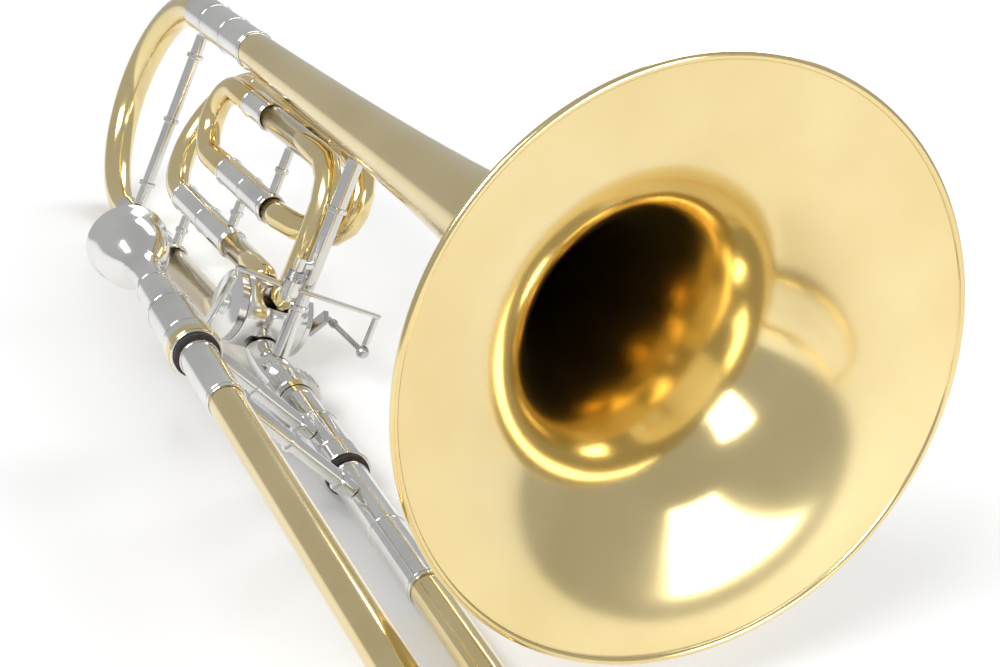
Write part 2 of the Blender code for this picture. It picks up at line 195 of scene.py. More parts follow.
# Thumb lever, turning about an upright post beside the front brace
PIVOT = Vector((-322.0, -12.0, -85.0))
POST_R = 2.6
POST_BELOW = 3.0
POST_ABOVE = 12.0
BRACKET_R = 2.4
BRACKET_RISE = 8.0
HUB_R = 4.8
HUB_HALF = 4.0
BALL = Vector((-312.0, 34.0, -105.0))
BALL_R = 3.4
BALL_SEGMENTS = 48
BALL_RINGS = 24
DROP_R = 1.8
BAR_WIDE = 4.0
BAR_THICK = 1.8
BAR_OVERHANG = 2.0
REAR_BAR_WIDE = 6.0
ELBOW = Vector((-335.0, -38.0, PIVOT.z))
PADDLE_WIDE = 20.0
PADDLE_THICK = 2.0
PADDLE_ROUND = 0.9
PADDLE_DROP = 1.3
PADDLE_INSET = 1.5
PADDLE_FOOT = Vector((-2.0, -6.0, -50.0))
LINK_R = 1.5
LINK_END = 6.0
LINK_RINGS = ((0.85, 2.4),)

# Hand slide, measured along its tubes from the joint with the receiver
SLIDE_JOINT = Vector((-320.0, 0.0, NECK_Z))
SLIDE_DIRECTION = Vector((1.0, -0.0412, -0.0482)).normalized()
SLIDE_SPACING = 98.0
SLIDE_TILT = math.radians(22.2)
INNER_TUBE_R = 7.4
INNER_TUBE_BORE = 7.135
INNER_TUBE_START = 61.0
INNER_TUBE_END = 753.5
OUTER_TUBE_R = 7.8
OUTER_TUBE_BORE = 7.52
OUTER_TUBE_START = 115.0
OUTER_TUBE_END = 758.5
OUTER_SLEEVE_R = 8.6
OUTER_SLEEVE_FIT = 0.1
UPPER_SLEEVE_END = 164.0
LOWER_SLEEVE_END = 223.0
BARREL_R = 10.7
BARREL_FIT = 0.2
BARREL_START = 62.0
BARREL_END = 98.0
LOCK_RING_R = 11.8
LOCK_RING_START = 98.3
LOCK_RING_END = 112.0
INNER_BRACE_AT = 80.0
OUTER_BRACE_AT = 139.0
SLIDE_BRACE_R = 3.8
SLIDE_BRACE_RINGS = ((0.1, 5.4), (0.5, 5.0), (0.9, 5.4))
SLIDE_BOW_STEPS = 24
BUMPER_R = 4.5
BUMPER_LONG = 8.0
MOUTH_RECEIVER_R = 8.8
MOUTH_RECEIVER_BORE = 6.6
MOUTH_RECEIVER_START = 30.0
SOCKET_R = 9.3
SOCKET_START = 12.0
SOCKET_END = 60.7
GAP_RING_R = 9.0
GAP_RING_START = 10.2
GAP_RING_END = 11.7
LEADPIPE_BORE = 6.3
LEADPIPE_FIT = 0.3
LEADPIPE_START = 61.3
LEADPIPE_END = 250.0

# The mouthpiece's outline, as radius and distance along the upper tube
MOUTHPIECE_OUTLINE = ((19.4, -29.6), (20.5, -28.2), (19.9, -25.6), (18.7, -23.5), (18.3, -17.0),
                      (16.6, -9.5), (13.4, -3.5), (9.6, 0.5), (8.2, 3.0), (9.0, 4.6),
                      (7.8, 6.5), (7.0, 16.0), (6.2, 30.0), (5.4, 60.0), (4.4, 60.0),
                      (3.7, 8.0), (5.6, 0.0), (10.2, -9.0), (12.4, -20.0), (13.0, -27.6),
                      (15.2, -30.0))

# Small visual pieces
BAND_HALF = 0.8
BAND_PROUD = 0.35
BAND_SINK = 0.3
SPRING_R = 3.9
SPRING_WIRE = 0.45
SPRING_WIRE_SIDES = 3
SPRING_TURNS = 5
SPRING_POINTS = 20
SPRING_BOTTOM = 4.9
SPRING_RISE = 4.0
RIB_COUNT = 40
RIB_DEEP = 0.5
RIB_SINK = 0.6
RIB_HALF = 0.45
RIB_START = 18.0
RIB_END = 28.7

# Camera fitted to the photograph, in the bell's own axes and millimetres
CAMERA_SPOT = Vector((617.14, -457.25, 132.22))
CAMERA_RIGHT = Vector((0.4265453, 0.8225698, 0.3760825))
CAMERA_DOWN = Vector((0.3420156, 0.2382421, -0.9089918))
CAMERA_AHEAD = Vector((-0.8373079, 0.5163522, -0.1797106))
CAMERA_NEAR = 0.01
FOCAL_PX = 2109.38
CENTRE_PX = (522.50, 322.71)
IMAGE_PX = (1000, 667)
SENSOR_MM = 36.0

# Studio, in metres and watts: each light has its place, size and power
FLOOR_SIZE = 12.0
FLOOR_COLOUR = (0.86, 0.86, 0.86, 1.0)
FLOOR_ROUGH = 0.7
WORLD_COLOUR = (0.93, 0.94, 0.96, 1.0)
WORLD_STRENGTH = 0.55
LIGHT_AIM = Vector((-0.1, 0.0, 0.1))
LIGHTS = (("key_light", Vector((0.6, -1.6, 1.9)), (1.6, 1.0), 42.0),
          ("side_light", Vector((1.9, 0.6, 1.0)), (0.8, 1.6), 20.0),
          ("back_light", Vector((-1.4, 1.2, 1.5)), (1.4, 0.7), 22.0))

# Tones of the materials, and the detail that all of them share
BRASS_LIGHT = (0.80, 0.65, 0.33, 1.0)
BRASS_DEEP = (0.72, 0.56, 0.25, 1.0)
NICKEL_LIGHT = (0.80, 0.79, 0.76, 1.0)
NICKEL_DEEP = (0.64, 0.63, 0.61, 1.0)
STEEL_LIGHT = (0.60, 0.60, 0.62, 1.0)
STEEL_DEEP = (0.45, 0.45, 0.48, 1.0)
CORK_LIGHT = (0.06, 0.05, 0.045, 1.0)
CORK_DEEP = (0.02, 0.018, 0.015, 1.0)
COAT_ROUGH = 0.06
CLOUD_DETAIL = 5.0
TONE_SPAN = (0.25, 0.62)
ROUGH_SPAN = (0.7, 1.5)
SCRATCH_SCALE = 900.0
SCRATCH_DETAIL = 3.0
SCRATCH_DEPTH = 0.00005

# Slots, one for each material
BRASS = "brass"
NICKEL = "nickel"
STEEL = "steel"
DARK = "cork"

# Lines that turned pieces lie on, each an origin and a direction
ALONG = Vector((1.0, 0.0, 0.0))
UP = Vector((0.0, 0.0, 1.0))
SLIDE_LEAN = Vector((0.0, -math.cos(SLIDE_TILT), math.sin(SLIDE_TILT)))
SLIDE_OFFSET = (SLIDE_LEAN - SLIDE_DIRECTION * SLIDE_LEAN.dot(SLIDE_DIRECTION)).normalized()
BELL_LINE = (Vector((0.0, 0.0, 0.0)), ALONG)
NECK_LINE = (Vector((0.0, 0.0, NECK_Z)), ALONG)
WRAP_TOP_LINE = (Vector((0.0, 0.0, WRAP_TOP_Z)), ALONG)
WRAP_LOW_LINE = (Vector((0.0, 0.0, WRAP_LOW_Z)), ALONG)
WRAP_LOOP_LINE = (Vector((0.0, WRAP_LOOP_Y, WRAP_LOOP_Z)), ALONG)
LEG_LINE = (Vector((0.0, 0.0, LEG_Z)), ALONG)
VALVE_LINE = (Vector((VALVE_X, 0.0, VALVE_Z)), Vector((0.0, 1.0, 0.0)))
SLIDE_TOP_LINE = (SLIDE_JOINT + SLIDE_OFFSET * SLIDE_SPACING, SLIDE_DIRECTION)
SLIDE_LOW_LINE = (SLIDE_JOINT, SLIDE_DIRECTION)


def joint(name):
    return next(j for j in frame["record"]["behaviour"]["joints"] if j["name"] == name)


AXIS_X = -Vector(joint("main_tuning_slide")["axis"])
AXIS_Y = -Vector(joint("rotor_turn")["axis"])
AXIS_Z = Vector(joint("thumb_lever")["axis"])
ROW_SLIDE_AXIS = Vector(joint("hand_slide")["axis"])
ROW_SLIDE_JOINT = Vector(joint("lock_nut_turn")["pos_m"])
OPENINGS = frame["record"]["physics"]["openings"]
MOUTH_BOX = next(box["box_m"] for box in OPENINGS if box["name"] == "bell_mouth")
BELL_SPOT = Vector((0.0, 0.0, (MOUTH_BOX[0][2] + MOUTH_BOX[1][2]) / 2))



def row_direction(vector):
    """A direction in the bell's axes as a direction in the row frame."""
    return AXIS_X * vector.x + AXIS_Y * vector.y + AXIS_Z * vector.z


ROOT = Matrix((AXIS_X, AXIS_Y, AXIS_Z)).transposed().to_4x4()
ROOT.translation = BELL_SPOT
BODY_OF = {node: body for body, nodes in frame["record"]["behaviour"]["bodies"].items()
           for node in nodes}
PIECES = bpy.data.collections.new("visible_pieces")
bpy.context.scene.collection.children.link(PIECES)
MADE = []


def placed(origin, axis):
    """A place at an origin in metres, with its Z along the axis."""
    return Matrix.Translation(origin) @ axis.to_track_quat("Z", "Y").to_matrix().to_4x4()


# Materials


def surface(name, light, deep, rough, grain, scratch, coat=0.0, metallic=1.0):
    """A surface with uneven tone, worn polish and fine scratches."""
    material = bpy.data.materials.new(name)
    material.use_nodes = True
    nodes = material.node_tree.nodes
    links = material.node_tree.links
    shader = nodes["Principled BSDF"]
    shader.inputs["Metallic"].default_value = metallic
    shader.inputs["Coat Weight"].default_value = coat
    shader.inputs["Coat Roughness"].default_value = COAT_ROUGH
    place = nodes.new("ShaderNodeTexCoord")
    cloud = nodes.new("ShaderNodeTexNoise")
    cloud.inputs["Scale"].default_value = grain
    cloud.inputs["Detail"].default_value = CLOUD_DETAIL
    links.new(place.outputs["Object"], cloud.inputs["Vector"])
    tone = nodes.new("ShaderNodeValToRGB")
    tone.color_ramp.elements[0].color = deep
    tone.color_ramp.elements[0].position = TONE_SPAN[0]
    tone.color_ramp.elements[1].color = light
    tone.color_ramp.elements[1].position = TONE_SPAN[1]
    links.new(cloud.outputs["Fac"], tone.inputs["Fac"])
    links.new(tone.outputs["Color"], shader.inputs["Base Color"])
    polish = nodes.new("ShaderNodeMapRange")
    polish.inputs["To Min"].default_value = rough * ROUGH_SPAN[0]
    polish.inputs["To Max"].default_value = rough * ROUGH_SPAN[1]
    links.new(cloud.outputs["Fac"], polish.inputs["Value"])
    links.new(polish.outputs["Result"], shader.inputs["Roughness"])
    fine = nodes.new("ShaderNodeTexNoise")
    fine.inputs["Scale"].default_value = SCRATCH_SCALE
    fine.inputs["Detail"].default_value = SCRATCH_DETAIL
    links.new(place.outputs["Object"], fine.inputs["Vector"])
    relief = nodes.new("ShaderNodeBump")
    relief.inputs["Strength"].default_value = scratch
    relief.inputs["Distance"].default_value = SCRATCH_DEPTH
    links.new(fine.outputs["Fac"], relief.inputs["Height"])
    links.new(relief.outputs["Normal"], shader.inputs["Normal"])
    return material


MATERIALS = {
    BRASS: surface("gold_lacquered_brass", BRASS_LIGHT, BRASS_DEEP, rough=0.13, grain=14.0,
                   scratch=0.10, coat=0.5),
    NICKEL: surface("polished_nickel_silver", NICKEL_LIGHT, NICKEL_DEEP, rough=0.12, grain=22.0,
                    scratch=0.08),
    STEEL: surface("polished_steel", STEEL_LIGHT, STEEL_DEEP, rough=0.20, grain=40.0,
                   scratch=0.20),
    DARK: surface("dark_cork", CORK_LIGHT, CORK_DEEP, rough=0.75, grain=300.0, scratch=0.60,
                  metallic=0.0),
}

# Pieces


def shade(mesh):
    """Smooth shading with an edge kept wherever two faces meet at more than the crease."""
    for face in mesh.polygons:
        face.use_smooth = True
    mesh.set_sharp_from_angle(angle=CREASE)


def add_piece(item, node, slot):
    """Link a piece that stands for a node; it rides once every piece is in place."""
    PIECES.objects.link(item)
    item.data.materials.clear()
    item.data.materials.append(MATERIALS[slot])
    MADE.append((item, node, slot))
    return item


def cut(item, cutter):
    """Cut a hidden cutter, which is the last piece added, out of a piece."""
    MADE.pop()
    if "crisp" in item.modifiers:
        item.modifiers.remove(item.modifiers["crisp"])
    cutter.hide_render = True
    cutter.hide_viewport = True
    change = item.modifiers.new("cut", "BOOLEAN")
    change.operation = "DIFFERENCE"
    change.solver = "EXACT"
    change.object = cutter


def settle():
    """Lay every piece down with the frame and let it ride on its node's body."""
    bpy.context.view_layer.update()
    for cutter in [item for item in PIECES.objects if item.hide_render]:
        cutter.matrix_world = ROOT @ cutter.matrix_world
    for item, node, slot in MADE:
        item.matrix_world = ROOT @ item.matrix_world
        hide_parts(node)
        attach(item, BODY_OF[node])


def dress(item, body):
    """Lay down the last piece added, which stands for no node, and let it ride on a body."""
    MADE.pop()
    item.matrix_world = ROOT @ item.matrix_world
    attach(item, body)


def take_over(item, name):
    """Name a new primitive and take it out of the collection that it was made in."""
    item.name = name + "_skin"
    for group in list(item.users_collection):
        group.objects.unlink(item)
    return item


def turned(name, profile, line, slot, steps=ROUND_STEPS):
    """Revolve a closed profile of (radius, distance) pairs about a line."""
    mesh = bpy.data.meshes.new(name)
    points = [(radius * MM, 0.0, along * MM) for radius, along in profile]
    closed = min(radius for radius, along in profile) > 0.0
    edges = [(i, i + 1) for i in range(len(points) - 1)]
    if closed:
        edges.append((len(points) - 1, 0))
    mesh.from_pydata(points, edges, [])
    item = bpy.data.objects.new(name + "_skin", mesh)
    screw = item.modifiers.new("revolve", "SCREW")
    screw.axis = "Z"
    screw.axis = "Z"
    screw.steps = steps * FINER
    screw.render_steps = steps * FINER
    screw.use_merge_vertices = True
    screw.merge_threshold = TURNED_MERGE
    screw.use_smooth_shade = True
    crisp = item.modifiers.new("crisp", "EDGE_SPLIT")
    crisp.split_angle = CREASE
    origin, direction = line
    item.matrix_world = placed(origin * MM, direction)
    return add_piece(item, name, slot)


def ring(name, start, end, outer, inner, line, slot, steps=ROUND_STEPS):
    """A plain ring with small chamfers on its outer edges."""
    edge = min(CHAMFER, (outer - inner) * CHAMFER_OF_WALL, (end - start) * CHAMFER_OF_LENGTH)
    profile = [(outer - edge, end), (outer, end - edge), (outer, start + edge),
               (outer - edge, start), (inner, start), (inner, end)]
    return turned(name, profile, line, slot, steps)


def rod(name, start, end, radius, slot, rings=()):
    """A solid turned bar between two points, with raised rings at given shares."""
    direction = end - start
    length = direction.length
    profile = [(0.0, length), (radius, length)]
    for share, raised in sorted(rings, reverse=True):
        middle = share * length
        profile += [(radius, middle + RING_FOOT), (raised, middle + RING_TOP),
                    (raised, middle - RING_TOP), (radius, middle - RING_FOOT)]
    profile += [(radius, 0.0), (0.0, 0.0)]
    return turned(name, profile, (start, direction.normalized()), slot, ROD_STEPS)


def tube(name, points, radius, wall, slot, taper=1.0):
    """A bent tube with open ends, its wall set inward from the outer radius.

    The far end's radius is the first radius times taper.
    """
    curve = bpy.data.curves.new(name + "_path", "CURVE")
    curve.dimensions = "3D"
    curve.bevel_depth = radius * MM
    curve.bevel_resolution = TUBE_SIDES
    curve.use_fill_caps = wall == 0.0
    line = curve.splines.new("POLY")
    line.points.add(len(points) - 1)
    for i, (spot, point) in enumerate(zip(line.points, points)):
        spot.co = (*(Vector(point) * MM), 1.0)
        spot.radius = 1.0 + (taper - 1.0) * i / (len(points) - 1)
    source = bpy.data.objects.new(name + "_path", curve)
    PIECES.objects.link(source)
    bpy.context.view_layer.update()
    seen = source.evaluated_get(bpy.context.evaluated_depsgraph_get())
    mesh = bpy.data.meshes.new_from_object(seen)
    mesh.name = name
    bpy.data.objects.remove(source, do_unlink=True)
    work = bmesh.new()
    work.from_mesh(mesh)
    bmesh.ops.remove_doubles(work, verts=work.verts, dist=TUBE_MERGE)
    bmesh.ops.recalc_face_normals(work, faces=work.faces)
    outward = sum(face.normal.dot(face.calc_center_median() - nearest(face, points))
                  for face in work.faces)
    if outward < 0.0:
        bmesh.ops.reverse_faces(work, faces=work.faces)
    work.to_mesh(mesh)
    work.free()
    shade(mesh)
    item = bpy.data.objects.new(name + "_skin", mesh)
    if wall > 0.0:
        shell = item.modifiers.new("wall", "SOLIDIFY")
        shell.thickness = wall * MM
        shell.offset = -1.0
    return add_piece(item, name, slot)


def nearest(face, points):
    """The point of the tube's route that lies nearest to a face."""
    centre = face.calc_center_median()
    return min((Vector(point) * MM for point in points),
               key=lambda spot: (spot - centre).length)


def half_turn(centre, start, across, count):
    """Points on a half turn that begins at centre + start and bulges toward across."""
    centre, start, across = Vector(centre), Vector(start), Vector(across)
    count = count * FINER
    angles = [math.pi * i / count for i in range(count + 1)]
    return [tuple(centre + start * math.cos(t) + across * math.sin(t)) for t in angles]


def box(name, centre, size, slot):
    """A block with rounded edges, square to the bell's axes."""
    bpy.ops.mesh.primitive_cube_add(size=1.0)
    item = take_over(bpy.context.object, name)
    item.data.transform(Matrix.Diagonal((*(Vector(size) * MM), 1.0)))
    item.location = centre * MM
    bevel = item.modifiers.new("edges", "BEVEL")
    bevel.width = EDGE_ROUND * MM
    bevel.segments = EDGE_SEGMENTS
    return add_piece(item, name, slot)


def bar(name, start, end, wide, thick, slot):
    """A flat bar between two points, its width level and its edges rounded."""
    along = end - start
    item = box(name, (start + end) / 2, (along.length, wide, thick), slot)
    item.rotation_mode = "QUATERNION"
    item.rotation_quaternion = along.to_track_quat("X", "Z")
    return item


# Bell and the tubing in line with it


def bell_radius(x):
    return BELL_SHEET_R * (BELL_FLARE / (BELL_FLARE - x)) ** BELL_POWER


def build_bell():
    """The flared sheet, its wall measured square to the flare, with a rolled rim."""
    count = BELL_RINGS * FINER
    outer = []
    inner = []
    for i in range(count + 1):
        share = (i / count) ** BELL_CROWDING
        x = BELL_EDGE + (BELL_TAIL - BELL_EDGE) * share
        slope = BELL_POWER * bell_radius(x) / (BELL_FLARE - x)
        length = math.hypot(1.0, slope)
        outer.append((bell_radius(x), x))
        inner.append((bell_radius(x) - BELL_WALL / length,
                      x + BELL_WALL * slope / length))
    inner[-1] = (inner[-1][0], BELL_TAIL)
    bead = []
    for i in range(BEAD_SIDES + 1):
        angle = math.radians(BEAD_SWEEP / 2 - BEAD_SWEEP * i / BEAD_SIDES)
        bead.append((BELL_SHEET_R + RIM_BEAD * math.cos(angle), RIM_BEAD * math.sin(angle)))
    turned("bell", bead + outer + inner[::-1], BELL_LINE, BRASS, BELL_STEPS)


def build_tuning_slide():
    """The two fixed sleeves, and the legs, bow and brace that slide in them."""
    ring("bell_sleeve", SLEEVE_END, SLEEVE_START, BELL_SLEEVE_R, BELL_LEG_R + RUN,
         BELL_LINE, NICKEL)
    ring("neck_sleeve", SLEEVE_END, NECK_SLEEVE_START, NECK_SLEEVE_R, NECK_LEG_R + RUN,
         NECK_LINE, NICKEL)
    for name, outer, leg, line in (("bell", BELL_SLEEVE_R, BELL_LEG_R, BELL_LINE),
                                   ("neck", NECK_SLEEVE_R, NECK_LEG_R, NECK_LINE)):
        profile = [(leg, LEG_FRONT), (leg, SLEEVE_END - GAP), (outer, SLEEVE_END - GAP),
                   (outer, COLLAR_END), (leg - WALL, COLLAR_END), (leg - WALL, LEG_FRONT)]
        turned(name + "_tuning_leg", profile, line, NICKEL)
    middle = NECK_Z / 2
    mouth = COLLAR_END - GAP
    centre = (mouth - BOW_LEAD, 0.0, middle)
    bow = half_turn(centre, (0.0, 0.0, -middle), (middle, 0.0, 0.0), BOW_STEPS)
    bow = [(mouth, 0.0, 0.0)] + bow + [(mouth, 0.0, NECK_Z)]
    tube("main_tuning_bow", bow, BOW_BELL_R, WALL, BRASS, taper=BOW_NECK_R / BOW_BELL_R)
    top = Vector((TUNING_BRACE_X, 0.0, -BELL_SLEEVE_R - GAP))
    foot = Vector((TUNING_BRACE_X, 0.0, NECK_Z + NECK_SLEEVE_R + GAP))
    rod("tuning_brace", top, foot, TUNING_BRACE_R, NICKEL, TUNING_BRACE_RINGS)


# Valve


def passages():
    """The routes of the rotor's two bent passages, each from port to port."""
    lead = PASSAGE_REACH * PASSAGE_LEAD
    half = [(lead, lead), (PASSAGE_REACH, PASSAGE_REACH),
            (PASSAGE_HALF, PASSAGE_DIP + PASSAGE_EASE)]
    route = half + [(0.0, PASSAGE_DIP)] + [(-x, z) for x, z in half[::-1]]
    for side in (1.0, -1.0):
        yield [(VALVE_X + x, 0.0, VALVE_Z + side * z) for x, z in route]


def build_valve():
    """The casing with four ports, the rotor with two passages, the cap, plate and arm."""
    casing = ring("valve_casing", -CASING_HALF, CASING_HALF, CASING_R, CASING_BORE,
                  VALVE_LINE, NICKEL, VALVE_STEPS)
    across = CASING_R + PORT_LEAD
    for i, lean in enumerate((1.0, -1.0)):
        ends = [(VALVE_X - across, 0.0, VALVE_Z - lean * across),
                (VALVE_X + across, 0.0, VALVE_Z + lean * across)]
        cut(casing, tube("port_cutter_%d" % i, ends, PORT_R, 0.0, DARK))
    tip = STOP_ARM_Y - STOP_ARM_THICK / 2 - GAP
    profile = [(0.0, tip), (SPINDLE_R, tip), (SPINDLE_R, ROTOR_HALF), (ROTOR_R, ROTOR_HALF),
               (ROTOR_R, -ROTOR_HALF), (0.0, -ROTOR_HALF)]
    rotor = turned("valve_rotor", profile, VALVE_LINE, BRASS, VALVE_STEPS)
    for i, route in enumerate(passages()):
        cut(rotor, tube("passage_cutter_%d" % i, route, PASSAGE_R, 0.0, DARK))
    face = -CASING_HALF - GAP
    cap = [(radius, face - out) for radius, out in CAP_OUTLINE]
    turned("valve_cap", cap, VALVE_LINE, NICKEL, VALVE_STEPS)
    plate = CASING_HALF + GAP
    ring("valve_back_plate", plate, plate + PLATE_THICK, PLATE_R, SPINDLE_R + RUN, VALVE_LINE,
         NICKEL, VALVE_STEPS)
    centre = Vector((VALVE_X + STOP_ARM_SHIFT, STOP_ARM_Y, VALVE_Z + STOP_ARM_SHIFT))
    arm = box("stop_arm", centre, (STOP_ARM_LONG, STOP_ARM_THICK, STOP_ARM_WIDE), STEEL)
    arm.rotation_euler = (0.0, STOP_ARM_LEAN, 0.0)


# Neck and the valve tubing


def knuckle(lean_x, lean_z, level):
    """The bend from a valve port out to a straight tube at the given height."""
    reach = (CASING_R + GAP) / math.sqrt(2.0)
    port = (VALVE_X + lean_x * reach, 0.0, VALVE_Z + lean_z * reach)
    end = (port[0] + lean_x * KNUCKLE_LEAD, 0.0, port[2] + lean_z * KNUCKLE_LEAD)
    rise = abs(level - end[2])
    run = max(rise, KNUCKLE_LEAST_RUN)
    points = [port, end]
    for i in range(1, KNUCKLE_STEPS + 1):
        share = i / KNUCKLE_STEPS
        climb = 1.0 - (1.0 - share) ** KNUCKLE_POWER
        points.append((end[0] + lean_x * run * KNUCKLE_STRETCH * share, 0.0,
                       end[2] + lean_z * rise * climb))
    return points


def build_neck():
    """The tubes behind and ahead of the valve, and the nut that holds the hand slide."""
    rear = knuckle(-1.0, -1.0, NECK_Z)
    tube("neck_tube", [(NECK_BACK, 0.0, NECK_Z)] + rear[::-1], NECK_R, WALL, BRASS)
    front = knuckle(1.0, -1.0, NECK_Z)
    tube("receiver_tube", front + [(RECEIVER_FRONT, 0.0, NECK_Z)], RECEIVER_R, RECEIVER_WALL,
         NICKEL)
    ring("bell_lock_nut", NUT_START, NUT_END, NUT_R, NUT_BORE, SLIDE_LOW_LINE, NICKEL)


def build_valve_tubing():
    """The crook up from the valve, the sleeves and the bow that slides in them."""
    crook = knuckle(1.0, 1.0, CROOK_LEVEL)[:2]
    rise = [(-349.0, 0.0, -94.0), (-346.0, 0.0, -88.0), (-345.5, 0.0, -60.0),
            (-346.5, 0.0, -44.0), (-352.0, 0.0, -32.5), (-362.0, 0.0, -26.2),
            (-375.0, 0.0, WRAP_TOP_Z), (-446.7, 0.0, WRAP_TOP_Z)]
    tube("valve_front_crook", crook + rise, WRAP_R, WALL, BRASS)
    ring("upper_wrap_sleeve", WRAP_SLEEVE_BACK, UPPER_WRAP_FRONT, WRAP_SLEEVE_R,
         WRAP_R + WRAP_FIT, WRAP_TOP_LINE, NICKEL)
    ring("lower_wrap_sleeve", WRAP_SLEEVE_BACK, LOWER_WRAP_FRONT, WRAP_SLEEVE_R,
         WRAP_R + WRAP_FIT, WRAP_LOW_LINE, NICKEL)
    radius = (WRAP_TOP_Z - WRAP_LOW_Z) / 2
    centre = (WRAP_BOW_X, 0.0, (WRAP_TOP_Z + WRAP_LOW_Z) / 2)
    bend = half_turn(centre, (0.0, 0.0, radius), (-radius, 0.0, 0.0), WRAP_BOW_STEPS)
    bow = [(WRAP_BOW_TOP_X, 0.0, WRAP_TOP_Z)] + bend + [(WRAP_BOW_LOW_X, 0.0, WRAP_LOW_Z)]
    tube("valve_tuning_bow", bow, WRAP_R, WALL, BRASS)


def build_inner_loop():
    """The fixed loop from the lower sleeve forward, back and down to the valve."""
    front = [(-403.0, 0.0, -66.0), (-392.0, 0.4, -66.0), (-380.0, 6.0, -66.0),
             (-370.0, 12.8, -64.2), (-361.0, 18.3, -59.5), (-354.0, 20.2, -52.0),
             (-351.0, 20.5, -43.5), (-353.0, 20.8, -34.5), (-360.0, 21.0, -26.5),
             (-371.0, 21.0, WRAP_LOOP_Z), (-397.7, 21.0, WRAP_LOOP_Z)]
    tube("inner_front_bow", front, WRAP_R, WALL, BRASS)
    ring("inner_long_tube", REAR_BOW_X + GAP, WRAP_LOOP_FRONT, WRAP_R, WRAP_R - WALL,
         WRAP_LOOP_LINE, BRASS)
    half = Vector((0.0, WRAP_LOOP_Y / 2, (WRAP_LOOP_Z - LEG_Z) / 2))
    lead = Vector((-BOW_LEAD, 0.0, 0.0))
    centre = Vector((REAR_BOW_X, WRAP_LOOP_Y / 2, (WRAP_LOOP_Z + LEG_Z) / 2)) + lead
    bend = half_turn(centre, half, (-half.length, 0.0, 0.0), REAR_BOW_STEPS)
    bend = [tuple(Vector(bend[0]) - lead)] + bend + [tuple(Vector(bend[-1]) - lead)]
    tube("inner_rear_bow", bend, WRAP_R, WALL, BRASS)
    ring("rear_leg_sleeve", REAR_BOW_X + GAP, LEG_SLEEVE_X - GAP, WRAP_SLEEVE_R,
         WRAP_R - WALL, LEG_LINE, NICKEL)
    route = knuckle(-1.0, 1.0, LEG_Z) + [(LEG_SLEEVE_X, 0.0, LEG_Z)]
    tube("rear_leg_tube", route, WRAP_R, WALL, BRASS)


def build_stays():
    """The three short upright stays between the tubes."""
    seat = WRAP_SLEEVE_R + GAP
    spans = (("stay_upper", -410.0, WRAP_TOP_Z - WRAP_R - GAP, WRAP_LOW_Z + seat),
             ("stay_middle", -446.0, WRAP_LOW_Z - seat, LEG_Z + seat),
             ("stay_lower", -512.0, LEG_Z - seat, NECK_Z + NECK_SLEEVE_R + GAP))
    for name, x, top, foot in spans:
        rod(name, Vector((x, 0.0, top)), Vector((x, 0.0, foot)), STAY_R, NICKEL, STAY_RINGS)


def build_front_brace():
    """The brace between the bell and the receiver."""
    top = Vector((BRACE_X, 0.0, -bell_radius(BRACE_TOP_X) - GAP - BRACE_SINK))
    foot = Vector((BRACE_X, 0.0, NECK_Z + RECEIVER_R + GAP))
    rod("front_brace", top, foot, BRACE_R, NICKEL, BRACE_RINGS)


# Thumb lever and its link to the valve


def build_lever():
    """The post on its bracket, the lever that turns on it, and the link to the valve."""
    level = PIVOT.z
    ring("lever_hub", -HUB_HALF, HUB_HALF, HUB_R, POST_R + RUN, (PIVOT, UP), NICKEL)
    rod("lever_post", PIVOT - UP * (HUB_HALF + POST_BELOW), PIVOT + UP * (HUB_HALF + POST_ABOVE),
        POST_R, NICKEL)
    away = Vector((PIVOT.x - BRACE_X, PIVOT.y, 0.0))
    reach = away.normalized()
    shelf = Vector((BRACE_X, 0.0, level + HUB_HALF + BRACKET_RISE))
    rod("lever_bracket", shelf + reach * (BRACE_R + GAP), shelf + away - reach * (POST_R + GAP),
        BRACKET_R, NICKEL)
    corner = Vector((BALL.x, BALL.y, level))
    side = (corner - PIVOT).normalized()
    bar("lever_front_bar", PIVOT + side * (HUB_R + GAP), corner + side * BAR_OVERHANG,
        BAR_WIDE, BAR_THICK, NICKEL)
    rod("lever_drop", corner - UP * (BAR_THICK / 2 + GAP), BALL + UP * (BALL_R + GAP),
        DROP_R, NICKEL)
    build_ball()
    side = (ELBOW - PIVOT).normalized()
    bar("lever_rear_bar", PIVOT + side * (HUB_R + GAP), ELBOW, REAR_BAR_WIDE, BAR_THICK, NICKEL)
    hang = ELBOW - UP * (BAR_THICK / 2 + GAP + PADDLE_DROP) - side * PADDLE_INSET
    paddle = bar("lever_paddle", hang, ELBOW + PADDLE_FOOT, PADDLE_WIDE, PADDLE_THICK, NICKEL)
    paddle.modifiers["edges"].width = PADDLE_ROUND * MM
    start = BALL - Vector((BALL_R + GAP, 0.0, 0.0))
    end = Vector((VALVE_X + LINK_END, BALL.y, BALL.z))
    rod("link_rod", start, end, LINK_R, STEEL, LINK_RINGS)


def build_ball():
    bpy.ops.mesh.primitive_uv_sphere_add(segments=BALL_SEGMENTS, ring_count=BALL_RINGS,
                                         radius=BALL_R * MM)
    item = take_over(bpy.context.object, "lever_ball")
    item.location = BALL * MM
    shade(item.data)
    add_piece(item, "lever_ball", STEEL)


# Hand slide


